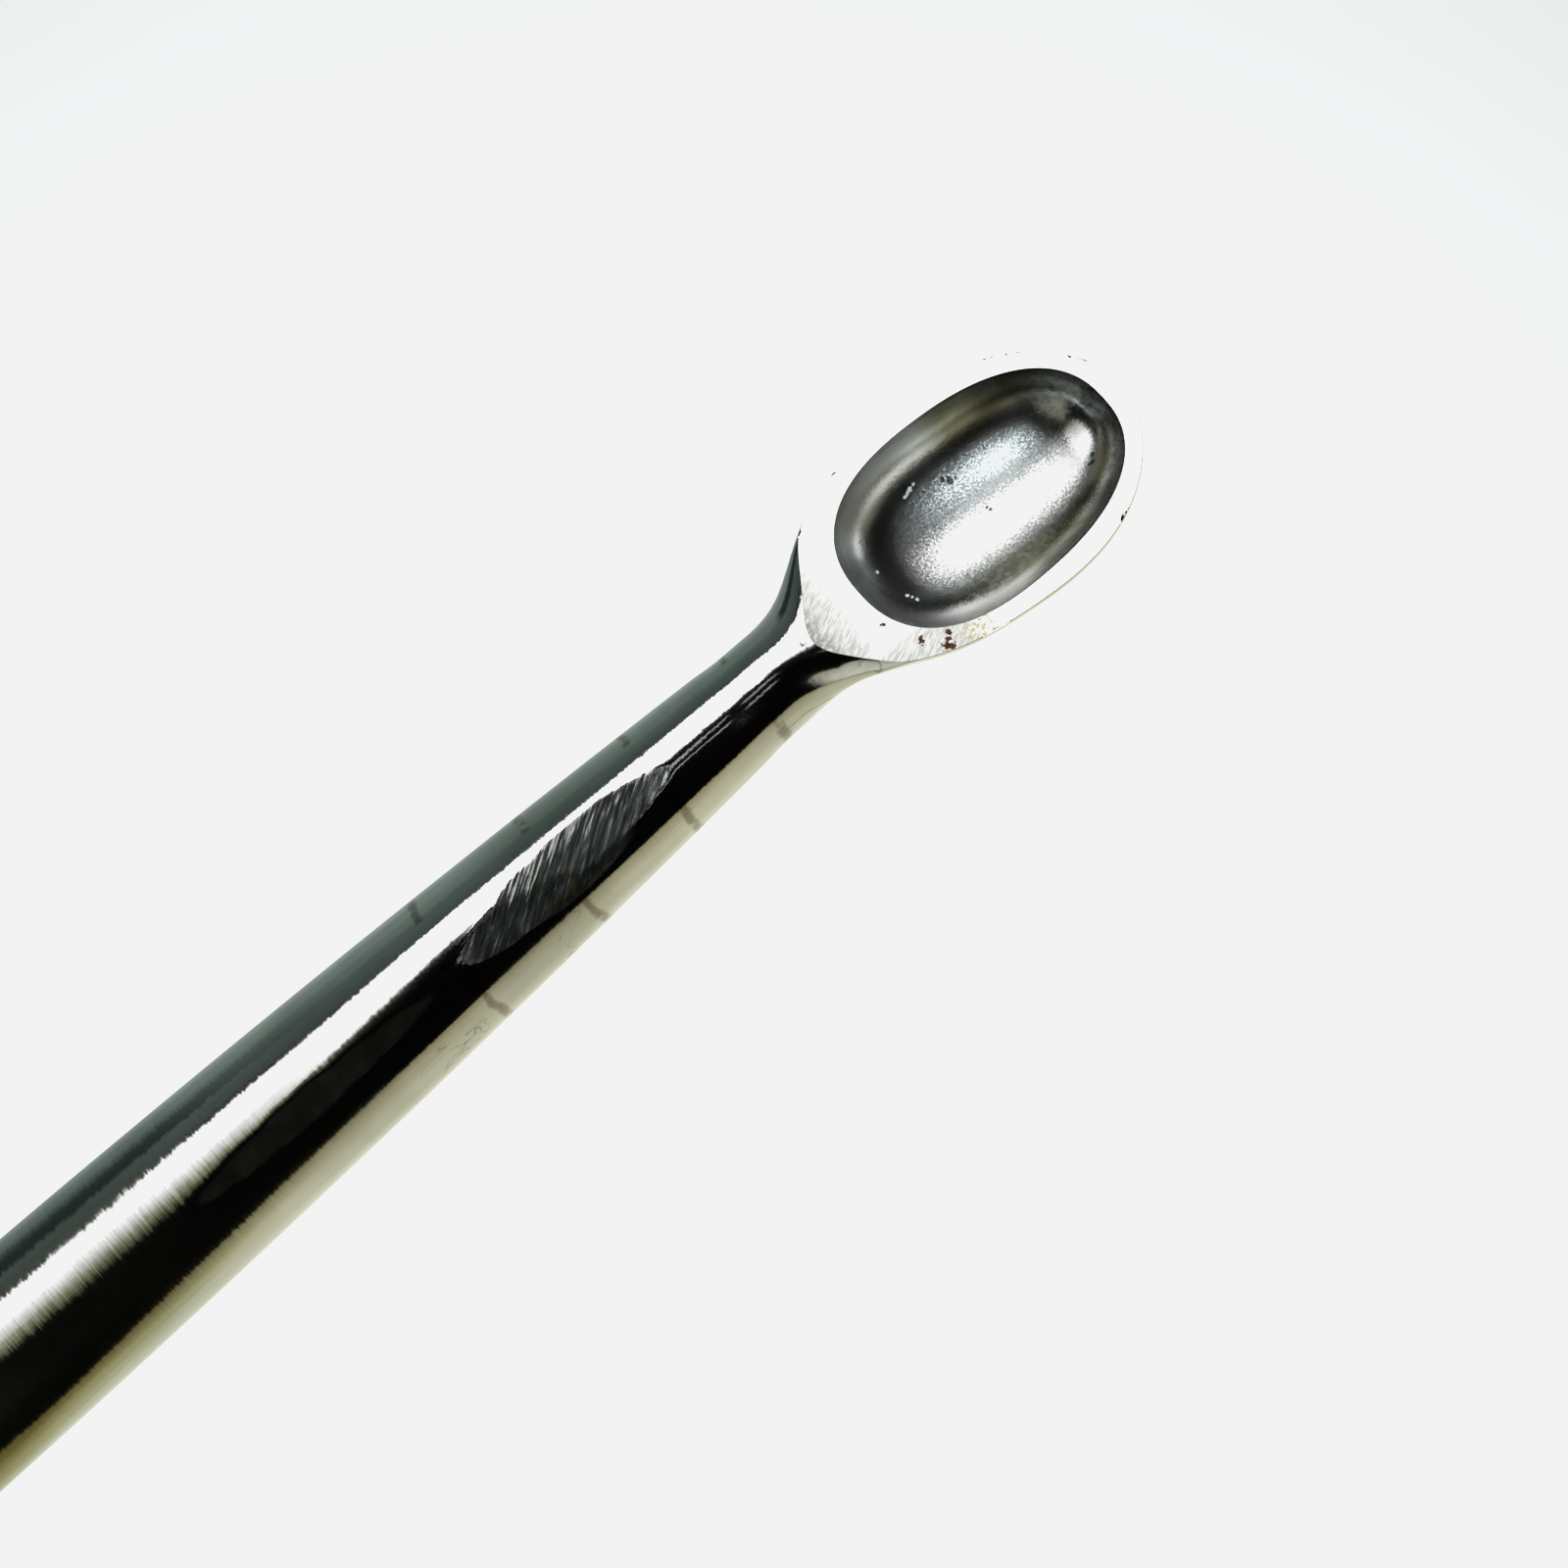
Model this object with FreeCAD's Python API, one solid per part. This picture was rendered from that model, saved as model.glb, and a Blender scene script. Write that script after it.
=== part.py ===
import FreeCAD, Part
import math
import os

# Spoon-ended curette: a forged, hand-ground cup and shank in a hollow octagonal handle.
#
# Frame: +X runs along the instrument to the cup's tip, +Z is the way the cup opens.
# Origin: middle of the length and the width, on the surface that the handle lies on.
# "Station" means a distance along X from the middle of the cup's opening, tip positive.

# Driving dimensions, millimetres and degrees
OVERALL_LENGTH = 170.0
HANDLE_FLATS = 10.0          # across the octagon's flats
HANDLE_CORNER_R = 0.8        # pressed corner radius, outside
SHELL_WALL = 0.8
BRAZE_GAP = 0.15             # visible line of filler where two faces meet
SLIP = 0.03                  # clearance of a part that is brazed or pressed into a bore

TIP_STATION = 7.92           # front of the rim
APEX_STATION = -9.35         # where the flat rim meets the ridge of the neck
NECK_STATION = -12.4         # thinnest place
SHOULDER_STATION = -68.0     # end of the visible shank, start of the tang

SHANK_R = 4.14               # at the shoulder
TAPER = 0.00061              # the radius falls with the square of the distance from the shoulder
NECK_R = 2.25
RIM_PITCH = 11.0             # the rim plane falls towards the tip
RIM_APEX_HEIGHT = 2.40       # above the shank's axis
BLANK_TOP = 2.45             # flat top of the blank before the rim is ground
RIM_LAND_DROP = 0.1          # the bowl is widest this far under the rim

BOWL_DEPTH_RATIO = 0.86      # outside depth below the rim over half-width
BOWL_CROWN_RATIO = 0.2       # uncut metal above the rim over half-width
OPENING = {"ends": (-6.61, 6.80), "half_width": 4.385, "power": 2.375, "root": 2.375,
           "taper": 0.057}
OPENING_POINTS = 24
CAVITY_DEPTH_RATIO = 0.84

# Stations between which the blank changes from neck to bowl
WIDEST_LINE_RISE = (-11.5, -6.2)
RIDGE_RISE = (NECK_STATION, -8.0)
RIDGE_INTO_BOWL = (-7.5, -5.5)
BELLY_INTO_BOWL = (-8.5, 0.5)
BELLY_BEND = (-12.6, -8.0)
BELLY_SLOPE = 0.06           # fall of the neck's underside towards the bowl
BLANK_STATIONS = [NECK_STATION, -11.6, -10.8, -10.0, -9.2, -8.4, -7.6, -6.8, -6.0, -5.2, -4.2, -3.0,
                  -1.5, 0.2, 1.8, 3.3, 4.6, 5.7, 6.6, 7.25, 7.65, 7.84, 7.9]

TANG_R = 2.5
TANG_LENGTH = 50.0
TANG_CHAMFER = 0.6
COLLAR_LENGTH = 7.0
COLLAR_ROUND = 1.0           # length of the collar's round front
COLLAR_LAND = 1.2            # length of its full octagon
COLLAR_OVERRUN = 0.2         # the cone is turned past the octagon's corners
SPIGOT_LENGTH = 8.0
FRONT_GROOVE = 0.3           # filler groove round the shank and collar
PIN_R = 1.0
PIN_SLIP = 0.01
PIN_CHAMFER = 0.2
PIN_SHORT = 0.2              # each end of the pin stays this far inside the spigot
BUSH_LENGTH = 6.0
BUSH_INSET = 1.0             # from the tang's end
BUSH_CHAMFER = 0.4
PLUG_LENGTH = 6.0
PLUG_DOME_R = 7.5
PLUG_DOME_SPAN = 60.0        # degrees of the dome's arc from the axis
PLUG_CHAMFER = 0.5
FUSE_TOLERANCE = 0.002       # joins the lofted blank to the turned shank
PAST = 1.0                   # a cutting shape reaches this far past what it cuts
RIM_CUT = (-12.0, 12.0, 8.0) # first and last station and height of what is ground off for the rim

# Places worked out from them
AXIS_Z = HANDLE_FLATS / 2
TIP_X = OVERALL_LENGTH / 2
CUP_X = TIP_X - TIP_STATION
SHOULDER_X = CUP_X + SHOULDER_STATION
COLLAR_BACK_X = SHOULDER_X - COLLAR_LENGTH
SHELL_FRONT_X = COLLAR_BACK_X - BRAZE_GAP
PLUG_FRONT_X = -OVERALL_LENGTH / 2 + PLUG_LENGTH
SHELL_BACK_X = PLUG_FRONT_X + BRAZE_GAP
BORE_FLATS = HANDLE_FLATS - 2 * SHELL_WALL
SPIGOT_R = BORE_FLATS / 2 - SLIP
PIN_X = COLLAR_BACK_X - SPIGOT_LENGTH / 2
TANG_END_X = SHOULDER_X - TANG_LENGTH
RIM_SLOPE = math.tan(math.radians(RIM_PITCH))

X = FreeCAD.Vector(1, 0, 0)
Z = FreeCAD.Vector(0, 0, 1)


def place(x, y, z):
    """A point given along the row's X, across, and above the shank's axis."""
    return FreeCAD.Vector(x, y, AXIS_Z + z)


def smooth_step(value, low, high):
    t = min(max((value - low) / (high - low), 0.0), 1.0)
    return t * t * (3 - 2 * t)


def taper_radius(station):
    return SHANK_R - TAPER * (station - SHOULDER_STATION) ** 2


def rim_height(station):
    return RIM_APEX_HEIGHT - RIM_SLOPE * (station - APEX_STATION)


def egg(station, ends, half_width, power, root, taper):
    """Half-width of an egg-shaped outline between its two ends."""
    middle, reach = (ends[0] + ends[1]) / 2, (ends[1] - ends[0]) / 2
    v = (station - middle) / reach
    return half_width * max(1 - abs(v) ** power, 0.0) ** (1 / root) * (1 - taper * v)


# Half-width of the ground blank, where the neck flares into the bowl
FLARE = [(NECK_STATION, NECK_R), (-10.8, 2.25), (-9.4, 2.46), (-7.8, 3.21), (-6.2, 4.06),
         (-4.6, 4.66), (-3.0, 4.99)]
FLARE_END_SLOPE = 0.13
# Half-width of the bowl from there to the tip: an egg whose other end lies back in the neck
BOWL = {"ends": (-11.83, TIP_STATION), "half_width": 5.114, "power": 2.468, "root": 1.591,
        "taper": -0.204}


def flare_curve():
    curve = Part.BSplineCurve()
    points = [FreeCAD.Vector(station, width, 0) for station, width in FLARE]
    curve.interpolate(Points=points, InitialTangent=X,
                      FinalTangent=FreeCAD.Vector(1, FLARE_END_SLOPE, 0))
    return curve


FLARE_CURVE = flare_curve()


def half_width(station):
    """Half-width of the uncut blank at a station between the neck and the tip."""
    if station < FLARE[-1][0]:
        upright = Part.Line(FreeCAD.Vector(station, 0, 0), FreeCAD.Vector(station, 1, 0))
        return FLARE_CURVE.intersectCC(upright)[0].Y
    return egg(station, **BOWL)


def centre_height(station):
    """Height of a section's widest line: the axis at the neck, just under the rim at the bowl."""
    return (rim_height(station) - RIM_LAND_DROP) * smooth_step(station, *WIDEST_LINE_RISE)


def ridge_height(station):
    """Top of the uncut blank, which the flat rim cuts away in front of the apex."""
    flare = NECK_R + (BLANK_TOP - NECK_R) * smooth_step(station, *RIDGE_RISE)
    bowl = rim_height(station) + BOWL_CROWN_RATIO * half_width(station)
    join = smooth_step(station, *RIDGE_INTO_BOWL)
    return flare * (1 - join) + bowl * join


def belly_height(station):
    """Bottom of the blank: straight along the neck, then down under the bowl."""
    bowl = rim_height(station) - BOWL_DEPTH_RATIO * half_width(station)
    join = smooth_step(station, *BELLY_INTO_BOWL)
    fall = BELLY_SLOPE * (station - NECK_STATION) * smooth_step(station, *BELLY_BEND)
    neck = -NECK_R - fall
    return neck * (1 - join) + bowl * join


def blank_section(station):
    """Closed section across the shank: two half-ellipses that meet on the widest line."""
    wide, centre = half_width(station), centre_height(station)
    x = CUP_X + station

    def half(height):
        ellipse_points = [place(x, wide * math.cos(a), centre + height * math.sin(a))
                          for a in (i * math.pi / 8 for i in range(9))]
        curve = Part.BSplineCurve()
        curve.interpolate(Points=ellipse_points, InitialTangent=Z * math.copysign(1, height),
                          FinalTangent=Z * -math.copysign(1, height))
        return curve.toShape()

    upper = half(ridge_height(station) - centre)
    lower = half(belly_height(station) - centre)
    return Part.Wire(Part.__sortEdges__([upper, lower]))


def turned(profile, x_first):
    """Solid of revolution about the shank's axis from (distance past x_first, radius) points."""
    points = [place(x_first + x, 0, r) for x, r in profile]
    face = Part.Face(Part.makePolygon(points + [points[0]]))
    return face.revolve(place(0, 0, 0), X, 360)


def rod(x_low, x_high, radius):
    return Part.makeCylinder(radius, x_high - x_low, place(x_low, 0, 0), X)


def octagon_bar(x_low, x_high, flats, corner_r):
    """Octagonal bar along X, flat side down, with rounded corners."""
    corner = flats / 2 / math.cos(math.pi / 8)
    points = [place(x_low, corner * math.cos(a), corner * math.sin(a))
              for a in (math.pi / 8 + i * math.pi / 4 for i in range(9))]
    bar = Part.Face(Part.makePolygon(points)).extrude(X * (x_high - x_low))
    if corner_r:
        along = [e for e in bar.Edges if abs(e.BoundBox.XLength - (x_high - x_low)) < 1e-6]
        bar = bar.makeFillet(corner_r, along)
    return bar


def shank():
    """Tapering rod from the shoulder to the neck, ground to one long arc."""
    middle = (SHOULDER_STATION + NECK_STATION) / 2
    shoulder_top = place(SHOULDER_X, 0, SHANK_R)
    neck_top = place(CUP_X + NECK_STATION, 0, NECK_R)
    arc = Part.Arc(shoulder_top, place(CUP_X + middle, 0, taper_radius(middle)), neck_top)
    rest = Part.makePolygon([neck_top, place(CUP_X + NECK_STATION, 0, 0), place(SHOULDER_X, 0, 0),
                             shoulder_top])
    return Part.Face(Part.Wire([arc.toShape()] + rest.Edges)).revolve(place(0, 0, 0), X, 360)


def blank_head():
    """Uncut bowl and flare, lofted from the neck to the tip."""
    return Part.makeLoft([blank_section(s) for s in BLANK_STATIONS], True)


def cavity():
    """The cup's inside: the opening's egg outline turned round, squashed and tilted."""
    angles = [math.pi * i / OPENING_POINTS for i in range(OPENING_POINTS + 1)]
    low, high = OPENING["ends"]
    middle, reach = (low + high) / 2, (high - low) / 2
    stations = [middle - reach * math.cos(a) for a in angles]
    curve = Part.BSplineCurve()
    curve.interpolate([FreeCAD.Vector(s, egg(s, **OPENING), 0) for s in stations])
    chord = Part.LineSegment(curve.EndPoint, curve.StartPoint)
    face = Part.Face(Part.Wire([curve.toShape(), chord.toShape()]))
    tilt = FreeCAD.Matrix()
    tilt.A33 = CAVITY_DEPTH_RATIO
    tilt.A31 = -RIM_SLOPE
    hollow = face.revolve(FreeCAD.Vector(0, 0, 0), X, 360).transformGeometry(tilt)
    hollow.translate(FreeCAD.Vector(CUP_X, 0, AXIS_Z + rim_height(0)))
    return hollow


def above_rim():
    """Everything that the flat rim takes off the blank."""
    first, last, high = RIM_CUT
    corners = [(s, rim_height(s) + up) for s, up in ((first, 0), (last, 0), (last, high), (first, high))]
    side = FLARE[-1][1] + 2 * PAST
    points = [place(CUP_X + s, -side, z) for s, z in corners]
    face = Part.Face(Part.makePolygon(points + [points[0]]))
    return face.extrude(FreeCAD.Vector(0, 2 * side, 0))


def cup_shank():
    body = shank().fuse([blank_head()], FUSE_TOLERANCE).removeSplitter()
    body = body.cut(above_rim()).cut(cavity())
    tang = rod(TANG_END_X, SHOULDER_X, TANG_R)
    tang = tang.makeChamfer(TANG_CHAMFER, [e for e in tang.Edges if e.BoundBox.XMax < TANG_END_X + 0.1])
    return body.fuse(tang).cut(front_groove()).cut(pin_hole())


def pin_hole():
    return Part.makeCylinder(PIN_R + PIN_SLIP, HANDLE_FLATS, place(PIN_X, 0, -AXIS_Z), Z)


def front_groove():
    """Room for filler: a V groove where the shank's shoulder meets the collar."""
    return turned([(-FRONT_GROOVE, SHANK_R + PAST), (0, SHANK_R - FRONT_GROOVE),
                   (FRONT_GROOVE, SHANK_R + PAST)], SHOULDER_X)


def front_braze_ring():
    """The filler in the groove, filed flush with the shank."""
    return front_groove().common(rod(SHOULDER_X - PAST, SHOULDER_X + PAST, SHANK_R))


def front_collar():
    """Turned bolster: round where it meets the shank, ground to the octagon behind."""
    full = HANDLE_FLATS / 2 / math.cos(math.pi / 8) + COLLAR_OVERRUN
    outer = turned([(0, 0), (0, SHANK_R), (-COLLAR_ROUND, SHANK_R),
                    (COLLAR_LAND - COLLAR_LENGTH, full), (-COLLAR_LENGTH, full),
                    (-COLLAR_LENGTH, 0)], SHOULDER_X)
    outer = outer.common(octagon_bar(COLLAR_BACK_X, SHOULDER_X, HANDLE_FLATS, HANDLE_CORNER_R))
    spigot = rod(COLLAR_BACK_X - SPIGOT_LENGTH, COLLAR_BACK_X, SPIGOT_R)
    bore = rod(COLLAR_BACK_X - SPIGOT_LENGTH - PAST, SHOULDER_X + PAST, TANG_R + SLIP)
    return outer.fuse(spigot).cut(bore).cut(front_groove()).cut(pin_hole())


def cross_pin():
    reach = SPIGOT_R - PIN_SHORT
    pin = Part.makeCylinder(PIN_R, 2 * reach, place(PIN_X, 0, -reach), Z)
    return pin.makeChamfer(PIN_CHAMFER, [e for e in pin.Edges if e.BoundBox.ZLength < 0.01])


def handle_tube():
    bore = octagon_bar(SHELL_BACK_X, SHELL_FRONT_X, BORE_FLATS, 0)
    return octagon_bar(SHELL_BACK_X, SHELL_FRONT_X, HANDLE_FLATS, HANDLE_CORNER_R).cut(bore)


def handle_shell(side):
    """One pressed half of the handle: side is 1 for the top, -1 for the bottom."""
    half = Part.makeBox(OVERALL_LENGTH, HANDLE_FLATS + 2 * PAST, HANDLE_FLATS,
                        FreeCAD.Vector(-OVERALL_LENGTH / 2, -HANDLE_FLATS / 2 - PAST, 0))
    gap = BRAZE_GAP / 2
    half.translate(FreeCAD.Vector(0, 0, AXIS_Z + gap if side > 0 else AXIS_Z - gap - HANDLE_FLATS))
    return handle_tube().common(half)


def seam_strips():
    """Filler along the two side seams, between the half shells."""
    slab = Part.makeBox(OVERALL_LENGTH, HANDLE_FLATS + 2 * PAST, BRAZE_GAP,
                        FreeCAD.Vector(-OVERALL_LENGTH / 2, -HANDLE_FLATS / 2 - PAST,
                                       AXIS_Z - BRAZE_GAP / 2))
    return handle_tube().common(slab)


def end_band(x_low):
    """Filler between a shell's end and the octagonal face that it meets."""
    outer = octagon_bar(x_low, x_low + BRAZE_GAP, HANDLE_FLATS, HANDLE_CORNER_R)
    return outer.cut(rod(x_low - PAST, x_low + PAST, SPIGOT_R))


def tang_bush():
    """Ring that centres the far end of the tang in the hollow handle."""
    start = TANG_END_X + BUSH_INSET
    bush = rod(start, start + BUSH_LENGTH, SPIGOT_R)
    bush = bush.makeChamfer(BUSH_CHAMFER, [e for e in bush.Edges if e.BoundBox.XLength < 0.01])
    return bush.cut(rod(TANG_END_X, SHOULDER_X, TANG_R + SLIP))


def dome_point(degrees):
    """Point on the plug's dome, by its angle from the axis."""
    angle = math.radians(degrees)
    return place(PLUG_DOME_R * (1 - math.cos(angle)) - OVERALL_LENGTH / 2, 0, PLUG_DOME_R * math.sin(angle))


def rear_plug():
    """Domed end: octagonal against the shells, with a round spigot inside them."""
    block = octagon_bar(-OVERALL_LENGTH / 2, PLUG_FRONT_X, HANDLE_FLATS, HANDLE_CORNER_R)
    nose, top = dome_point(0), dome_point(PLUG_DOME_SPAN)
    arc = Part.Arc(nose, dome_point(PLUG_DOME_SPAN / 2), top)
    rest = Part.makePolygon([top, FreeCAD.Vector(PLUG_FRONT_X, 0, top.z), place(PLUG_FRONT_X, 0, 0), nose])
    dome = Part.Face(Part.Wire([arc.toShape()] + rest.Edges)).revolve(place(0, 0, 0), X, 360)
    end = PLUG_FRONT_X + SPIGOT_LENGTH
    spigot = rod(PLUG_FRONT_X - PAST, end, SPIGOT_R)
    spigot = spigot.makeChamfer(PLUG_CHAMFER, [e for e in spigot.Edges if e.BoundBox.XMin > end - 0.1])
    return block.common(dome).fuse(spigot)


PARTS = {
    "cup_shank": cup_shank,
    "front_braze_ring": front_braze_ring,
    "front_collar": front_collar,
    "cross_pin": cross_pin,
    "collar_braze_band": lambda: end_band(SHELL_FRONT_X),
    "handle_shell_top": lambda: handle_shell(1),
    "handle_shell_bottom": lambda: handle_shell(-1),
    "seam_braze_strips": seam_strips,
    "tang_bush": tang_bush,
    "plug_braze_band": lambda: end_band(PLUG_FRONT_X),
    "rear_plug": rear_plug,
}

os.makedirs("parts", exist_ok=True)
for name, make in PARTS.items():
    solid = make()
    solid.exportStep(f"parts/{name}.step")
    box = solid.BoundBox
    print(f"{name:20s} valid={solid.isValid()} solids={len(solid.Solids)} volume={solid.Volume:9.2f} "
          f"x {box.XMin:.2f}..{box.XMax:.2f} y {box.YMin:.2f}..{box.YMax:.2f} "
          f"z {box.ZMin:.2f}..{box.ZMax:.2f}")
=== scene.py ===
import math

import bpy
import numpy as np
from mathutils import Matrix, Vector, noise


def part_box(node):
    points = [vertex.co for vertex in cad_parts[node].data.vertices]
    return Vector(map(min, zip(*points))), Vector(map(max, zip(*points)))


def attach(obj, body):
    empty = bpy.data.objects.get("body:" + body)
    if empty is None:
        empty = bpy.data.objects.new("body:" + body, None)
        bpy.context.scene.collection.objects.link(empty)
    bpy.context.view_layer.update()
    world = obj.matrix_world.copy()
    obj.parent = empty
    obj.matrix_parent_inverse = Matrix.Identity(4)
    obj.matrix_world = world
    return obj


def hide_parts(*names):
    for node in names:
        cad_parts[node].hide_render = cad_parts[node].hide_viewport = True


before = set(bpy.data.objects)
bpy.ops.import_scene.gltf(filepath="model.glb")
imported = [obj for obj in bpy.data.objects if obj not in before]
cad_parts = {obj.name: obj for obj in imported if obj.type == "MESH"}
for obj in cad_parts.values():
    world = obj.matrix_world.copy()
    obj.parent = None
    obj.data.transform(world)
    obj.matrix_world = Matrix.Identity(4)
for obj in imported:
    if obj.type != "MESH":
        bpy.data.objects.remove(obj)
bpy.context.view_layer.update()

# Spoon curette. Shapes are worked out in millimetres along the shank's axis and turned into the
# frame's metres at the end. A "station" is a distance along X from the middle of the cup's opening,
# tip positive. "Round angle" is measured round the shank from straight up, positive towards -Y.
MM = 0.001
shank_low, shank_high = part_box("cup_shank")
shell_low, shell_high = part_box("handle_shell_bottom")
collar_low, collar_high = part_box("front_collar")
plug_low, plug_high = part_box("rear_plug")

AXIS_Z = (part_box("handle_shell_top")[1].z + shell_low.z) / 2 / MM
FLATS = (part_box("handle_shell_top")[1].z - shell_low.z) / MM
TIP, APEX, NECK, SHOULDER = 7.92, -9.35, -12.4, -68.0
CUP_X = 77.08
TANG_END = shank_low.x / MM - CUP_X
SHANK_R, NECK_R, TANG_R, TAPER = 4.14, 2.25, 2.5, 0.00061
RIM_SLOPE, RIM_APEX_HEIGHT, RIM_DROP = math.tan(math.radians(11.0)), 2.40, 0.1
BLANK_TOP = 2.45
GROOVE = 0.3
BOWL_DEPTH, CAVITY_DEPTH = 0.86, 0.84
FLARE = [(NECK, NECK_R), (-10.8, 2.25), (-9.4, 2.46), (-7.8, 3.21), (-6.2, 4.06),
         (-4.6, 4.66), (-3.0, 4.99)]
FLARE_END_SLOPE = 0.13
BOWL = {"ends": (-11.83, TIP), "half_width": 5.114, "power": 2.468, "root": 1.591, "taper": -0.204}
OPENING = {"ends": (-6.61, 6.80), "half_width": 4.385, "power": 2.375, "root": 2.375, "taper": 0.057}
OPENING_MIDDLE = 0.1

ROUND_POINTS = 160           # points round the shank
EDGE_BREAK = 0.02           # width of the worn edges of the rim


# ---------------------------------------------------------------- camera
VIEW_WIDTH = 0.0666
CAMERA_ELEVATION = math.radians(78.0)
CAMERA_TURN = math.radians(41.4)     # the shank's angle above the picture's horizontal
LENS, SENSOR = 110.0, 36.0
AIM_STATION, AIM_ASIDE = -14.3, -3.54


def make_camera():
    data = bpy.data.cameras.new("camera")
    data.lens, data.sensor_width = LENS, SENSOR
    camera = bpy.data.objects.new("camera", data)
    bpy.context.scene.collection.objects.link(camera)
    back = Vector((0, -math.cos(CAMERA_ELEVATION), math.sin(CAMERA_ELEVATION)))
    across = Vector((0, math.sin(CAMERA_ELEVATION), math.cos(CAMERA_ELEVATION)))
    along = Vector((1, 0, 0))
    right = along * math.cos(CAMERA_TURN) - across * math.sin(CAMERA_TURN)
    up = along * math.sin(CAMERA_TURN) + across * math.cos(CAMERA_TURN)
    aim = Vector(((CUP_X + AIM_STATION) * MM, 0, AXIS_Z * MM)) + across * AIM_ASIDE * MM
    distance = VIEW_WIDTH * LENS / SENSOR
    matrix = np.eye(4)
    matrix[:3, 0], matrix[:3, 1], matrix[:3, 2] = right, up, back
    matrix[:3, 3] = aim + back * distance
    camera.matrix_world = matrix.T.tolist()
    data.clip_start, data.clip_end = 0.01, 10
    bpy.context.scene.camera = camera


# ---------------------------------------------------------------- the instrument's own curves
def smooth_step(value, low, high):
    t = np.clip((value - low) / (high - low), 0, 1)
    return t * t * (3 - 2 * t)


def egg(station, ends, half_width, power, root, taper):
    middle, reach = (ends[0] + ends[1]) / 2, (ends[1] - ends[0]) / 2
    v = (station - middle) / reach
    return half_width * np.maximum(1 - np.abs(v) ** power, 0) ** (1 / root) * (1 - taper * v)


def flare_spline():
    """Second-derivative cubic spline through FLARE: flat at the neck, FLARE_END_SLOPE at the bowl."""
    x, y = (np.array(v, float) for v in zip(*FLARE))
    n, h = len(x), np.diff(x)
    a, b = np.zeros((n, n)), np.zeros(n)
    a[0, :2], b[0] = (2 * h[0], h[0]), 6 * (y[1] - y[0]) / h[0]
    a[-1, -2:], b[-1] = (h[-1], 2 * h[-1]), 6 * (FLARE_END_SLOPE - (y[-1] - y[-2]) / h[-1])
    for i in range(1, n - 1):
        a[i, i - 1:i + 2] = h[i - 1], 2 * (h[i - 1] + h[i]), h[i]
        b[i] = 6 * ((y[i + 1] - y[i]) / h[i] - (y[i] - y[i - 1]) / h[i - 1])
    return x, y, h, np.linalg.solve(a, b)


SPLINE = flare_spline()


def flare(station):
    x, y, h, m = SPLINE
    i = np.clip(np.searchsorted(x, station) - 1, 0, len(h) - 1)
    left, right = x[i + 1] - station, station - x[i]
    return (m[i] * left ** 3 + m[i + 1] * right ** 3) / (6 * h[i]) \
        + (y[i] / h[i] - m[i] * h[i] / 6) * left + (y[i + 1] / h[i] - m[i + 1] * h[i] / 6) * right


def taper_radius(station):
    return SHANK_R - TAPER * np.maximum(station - SHOULDER, 0) ** 2


def half_width(station):
    station = np.asarray(station, float)
    neck_join = smooth_step(station, NECK - 2.0, NECK)
    shank = taper_radius(station) * (1 - neck_join) + NECK_R * neck_join
    width = np.where(station < NECK, shank, flare(station))
    return np.where(station > FLARE[-1][0], egg(station, **BOWL), width)


def rim_height(station):
    return RIM_APEX_HEIGHT - RIM_SLOPE * (station - APEX)


def centre_height(station):
    return (rim_height(station) - RIM_DROP) * smooth_step(station, -11.5, -6.2)


def ridge_height(station):
    """Top of the section before the rim is cut."""
    wide = half_width(station)
    raised = NECK_R + (BLANK_TOP - NECK_R) * smooth_step(station, NECK, -8.0)
    bowl = rim_height(station) + 0.2 * wide
    join = smooth_step(station, -7.5, -5.5)
    return np.where(station < NECK, wide, raised * (1 - join) + bowl * join)


def belly_height(station):
    wide = half_width(station)
    bowl = rim_height(station) - BOWL_DEPTH * wide
    join = smooth_step(station, -8.5, 0.5)
    neck = -NECK_R - 0.06 * (station - NECK) * smooth_step(station, -12.6, -8.0)
    return np.where(station < NECK, -wide, neck * (1 - join) + bowl * join)


# ---------------------------------------------------------------- hand grinding
# Flat places left by the grinding wheel: finish, station, round angle, half-length, half-angle (degrees)
FACETS = [
    ("rough", -22.4, 8.0, 5.0, 20.0),
    ("rough", -25.4, 17.0, 4.0, 19.0),
    ("rough", -23.2, 31.0, 3.4, 11.0),
    ("smooth", -37.6, 20.0, 7.4, 12.5),
]
WAVE_HEIGHT, WAVE_LENGTH, WAVE_WIDTH = 0.011, 7.0, 2.2


def wobble(value, seed):
    """Smooth noise between about -1 and 1 along a line."""
    return np.array([noise.noise(Vector((float(v), seed, 0.5))) for v in np.atleast_1d(value)])


def facet_radius(station, angle, radius, facet):
    """Distance from the axis to a flat whose depth wanders as the hand moved."""
    _, middle, centre, half_length, half_angle = facet
    fade = np.maximum(1 - ((station - middle) / half_length) ** 2, 0)
    fade = fade * (1 + 0.35 * wobble(np.asarray(station) / 1.3, middle))
    flat = radius * (1 - (1 - math.cos(math.radians(half_angle))) * fade)
    return flat / np.maximum(np.cos(angle - math.radians(centre)), 0.4)


def ground_radius(station, angle, radius):
    """Radius of the shank after hand grinding: faint waves, then the flats."""
    fade = float(smooth_step(station, SHOULDER, SHOULDER + 4) * (1 - smooth_step(station, NECK - 5, NECK)))
    waves = [noise.noise(Vector((station / WAVE_LENGTH, radius * math.sin(a) / WAVE_WIDTH,
                                 radius * math.cos(a) / WAVE_WIDTH))) for a in angle]
    out = radius + WAVE_HEIGHT * fade * np.array(waves)
    for facet in FACETS:
        out = np.minimum(out, facet_radius(station, angle, radius, facet))
    return out


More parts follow.
